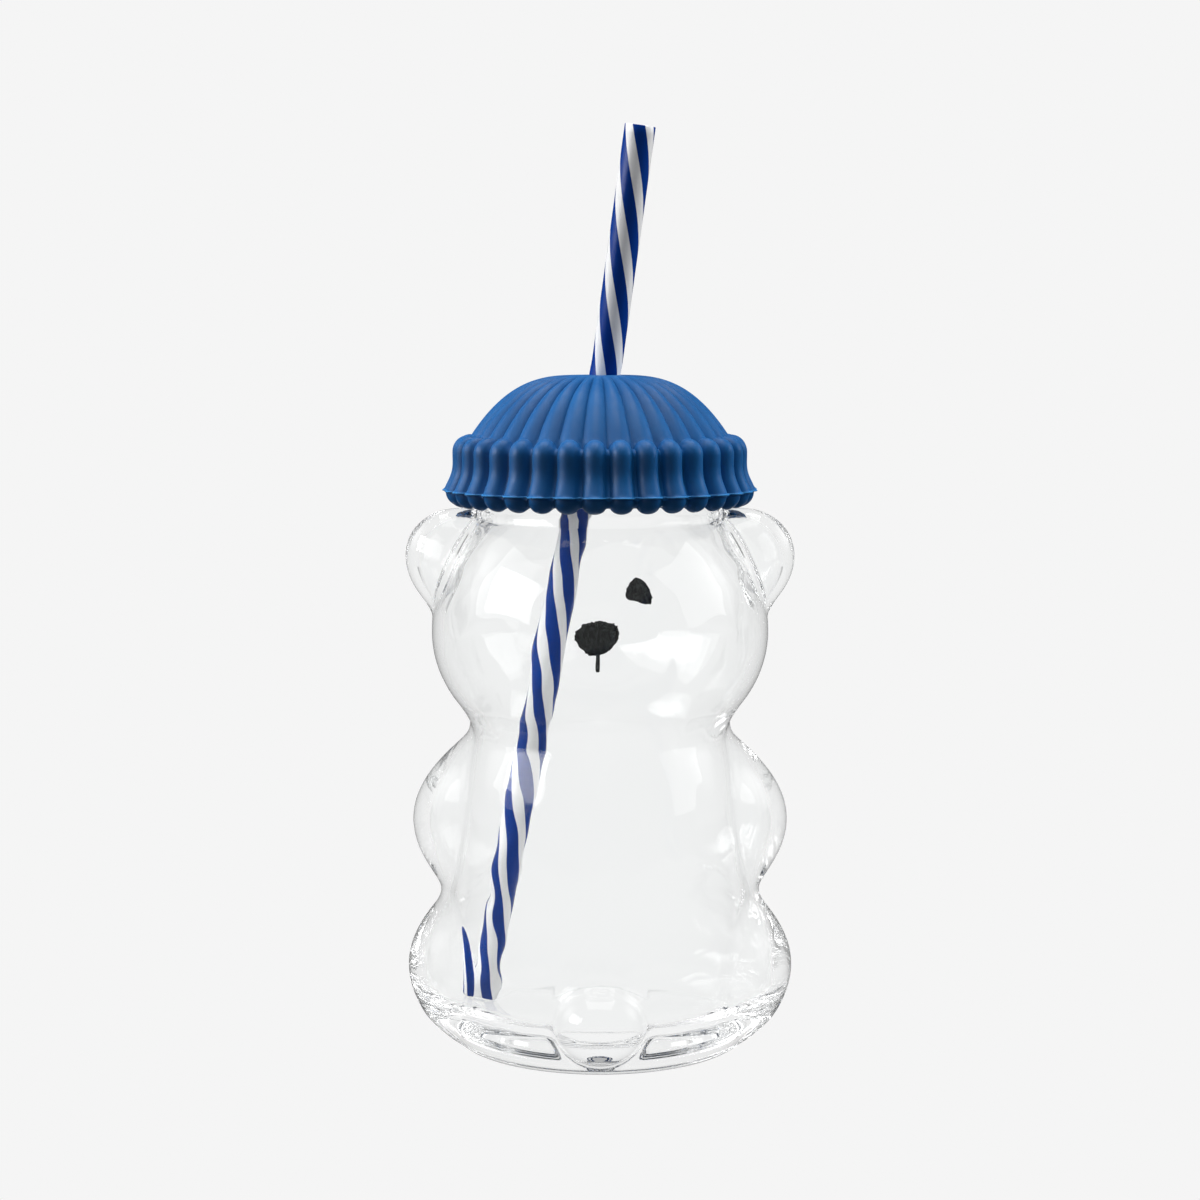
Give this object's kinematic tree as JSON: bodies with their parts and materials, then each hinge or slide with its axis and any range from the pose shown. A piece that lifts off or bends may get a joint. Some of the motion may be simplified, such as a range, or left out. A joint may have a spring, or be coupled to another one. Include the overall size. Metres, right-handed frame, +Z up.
{
  "type": "bear glass",
  "caption": "Hollow glass tumbler shaped as a sitting teddy bear, with a ribbed hat-shaped rubber lid and a striped drinking straw.",
  "frame": {"origin": "middle of the flat foot that the glass stands on", "axes": "+Z up through the mouth; +Y towards the bear's face; the tail, which the picture shows nearest, is at -Y; +X is the right of the picture"},
  "size_m": [0.102, 0.0989, 0.2408],
  "materials": {
    "clear_glass": "clear, polished",
    "dark_enamel": "satin print",
    "blue_rubber": "matt silicone",
    "striped_plastic": "glossy, blue and white stripes"
  },
  "bodies": {
    "jar": {"bear_jar": "clear_glass", "left_eye": "dark_enamel", "right_eye": "dark_enamel", "nose": "dark_enamel", "mouth_line": "dark_enamel"},
    "lid": {"beanie_lid": "blue_rubber"},
    "straw": {"straw": "striped_plastic"}
  },
  "joints": [
    {"name": "lid_lift", "type": "slide", "parent": "jar", "child": "lid", "axis": [0, 0, 1], "range_m": [0, 0.04]},
    {"name": "straw_slide", "type": "slide", "parent": "lid", "child": "straw", "axis": [0.1971, -0.0509, 0.9791], "range_m": [0, 0.15]}
  ]
}
